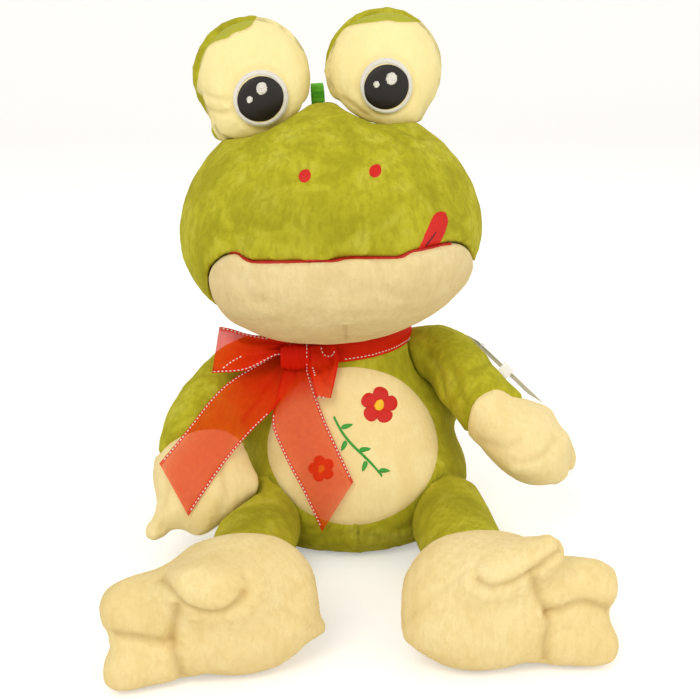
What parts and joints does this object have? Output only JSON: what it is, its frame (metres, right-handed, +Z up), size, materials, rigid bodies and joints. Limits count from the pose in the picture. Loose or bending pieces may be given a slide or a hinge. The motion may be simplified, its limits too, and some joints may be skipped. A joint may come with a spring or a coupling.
{
  "type": "plush toy",
  "caption": "Sitting stuffed plush frog with raised eyes, wide muzzle, embroidered belly panel and a tied sheer ribbon round its neck; head, arms and legs swing.",
  "frame": {"origin": "centre of the flat seat that the frog sits on", "axes": "+Z up, -Y the way the frog faces, +X toward the frog's left side"},
  "size_m": [0.3675, 0.3919, 0.4417],
  "materials": {
    "green_plush": "short cut pile",
    "cream_plush": "short cut pile",
    "white_thread": "satin stitch",
    "black_thread": "satin stitch",
    "red_thread": "satin stitch",
    "dark_red_thread": "satin stitch",
    "yellow_thread": "satin stitch",
    "green_thread": "satin stitch",
    "green_tape": "woven tape",
    "red_ribbon": "sheer woven",
    "tag_card": "smooth card",
    "white_satin": "satin",
    "clear_plastic": "smooth"
  },
  "bodies": {
    "torso": {"torso": "green_plush", "belly_panel": "cream_plush", "flower_petals_large": "red_thread", "flower_petals_small": "red_thread", "flower_centre_large": "yellow_thread", "flower_centre_small": "yellow_thread", "sprig": "green_thread", "collar_ribbon": "red_ribbon", "bow_knot": "red_ribbon", "bow_loop_l": "red_ribbon", "bow_loop_r": "red_ribbon", "bow_tail_l": "red_ribbon", "bow_tail_r": "red_ribbon", "hip_l": "green_plush", "hip_r": "green_plush"},
    "head": {"head": "green_plush", "muzzle": "cream_plush", "mouth_line": "dark_red_thread", "tongue": "red_thread", "tongue_line": "dark_red_thread", "nostril_l": "red_thread", "nostril_r": "red_thread", "eye_back_l": "green_plush", "eye_back_r": "green_plush", "eye_front_l": "cream_plush", "eye_front_r": "cream_plush", "iris_ring_l": "white_thread", "iris_ring_r": "white_thread", "pupil_l": "black_thread", "pupil_r": "black_thread", "highlight_large_l": "white_thread", "highlight_large_r": "white_thread", "highlight_small_l": "white_thread", "highlight_small_r": "white_thread", "hanging_loop": "green_tape"},
    "arm_l": {"arm_l": "green_plush", "hand_l": "cream_plush", "satin_label": "white_satin", "tag_fastener": "clear_plastic"},
    "arm_r": {"arm_r": "green_plush", "hand_r": "cream_plush"},
    "leg_l": {"leg_l": "green_plush", "foot_l": "cream_plush"},
    "leg_r": {"leg_r": "green_plush", "foot_r": "cream_plush"},
    "tag": {"hang_tag": "tag_card"}
  },
  "joints": [
    {"name": "head_turn", "type": "hinge", "parent": "torso", "child": "head", "pos_m": [-0.01017, 0.01738, 0.16538], "axis": [-0.061, 0.1043, 0.9927], "range_deg": [-20, 20]},
    {"name": "arm_l_swing", "type": "hinge", "parent": "torso", "child": "arm_l", "pos_m": [0.04884, 0.01529, 0.14545], "axis": [-0.9304, -0.0383, -0.3645], "range_deg": [-30, 40]},
    {"name": "arm_r_swing", "type": "hinge", "parent": "torso", "child": "arm_r", "pos_m": [-0.0663, 0.01455, 0.13845], "axis": [-0.9681, 0.0262, 0.249], "range_deg": [0, 40], "deforming": ["bow_tail_r", "bow_loop_r"]},
    {"name": "leg_l_swing", "type": "hinge", "parent": "torso", "child": "leg_l", "pos_m": [0.073, -0.04, 0.035], "axis": [1, 0, 0], "range_deg": [-15, 75], "deforming": ["hip_l"]},
    {"name": "leg_r_swing", "type": "hinge", "parent": "torso", "child": "leg_r", "pos_m": [-0.073, -0.04, 0.035], "axis": [1, 0, 0], "range_deg": [0, 75], "deforming": ["hip_r"]},
    {"name": "tag_swing", "type": "hinge", "parent": "arm_l", "child": "tag", "pos_m": [0.10794, -0.00243, 0.1618], "axis": [0.6764, 0.2276, 0.7005], "range_deg": [-3, 30]}
  ]
}
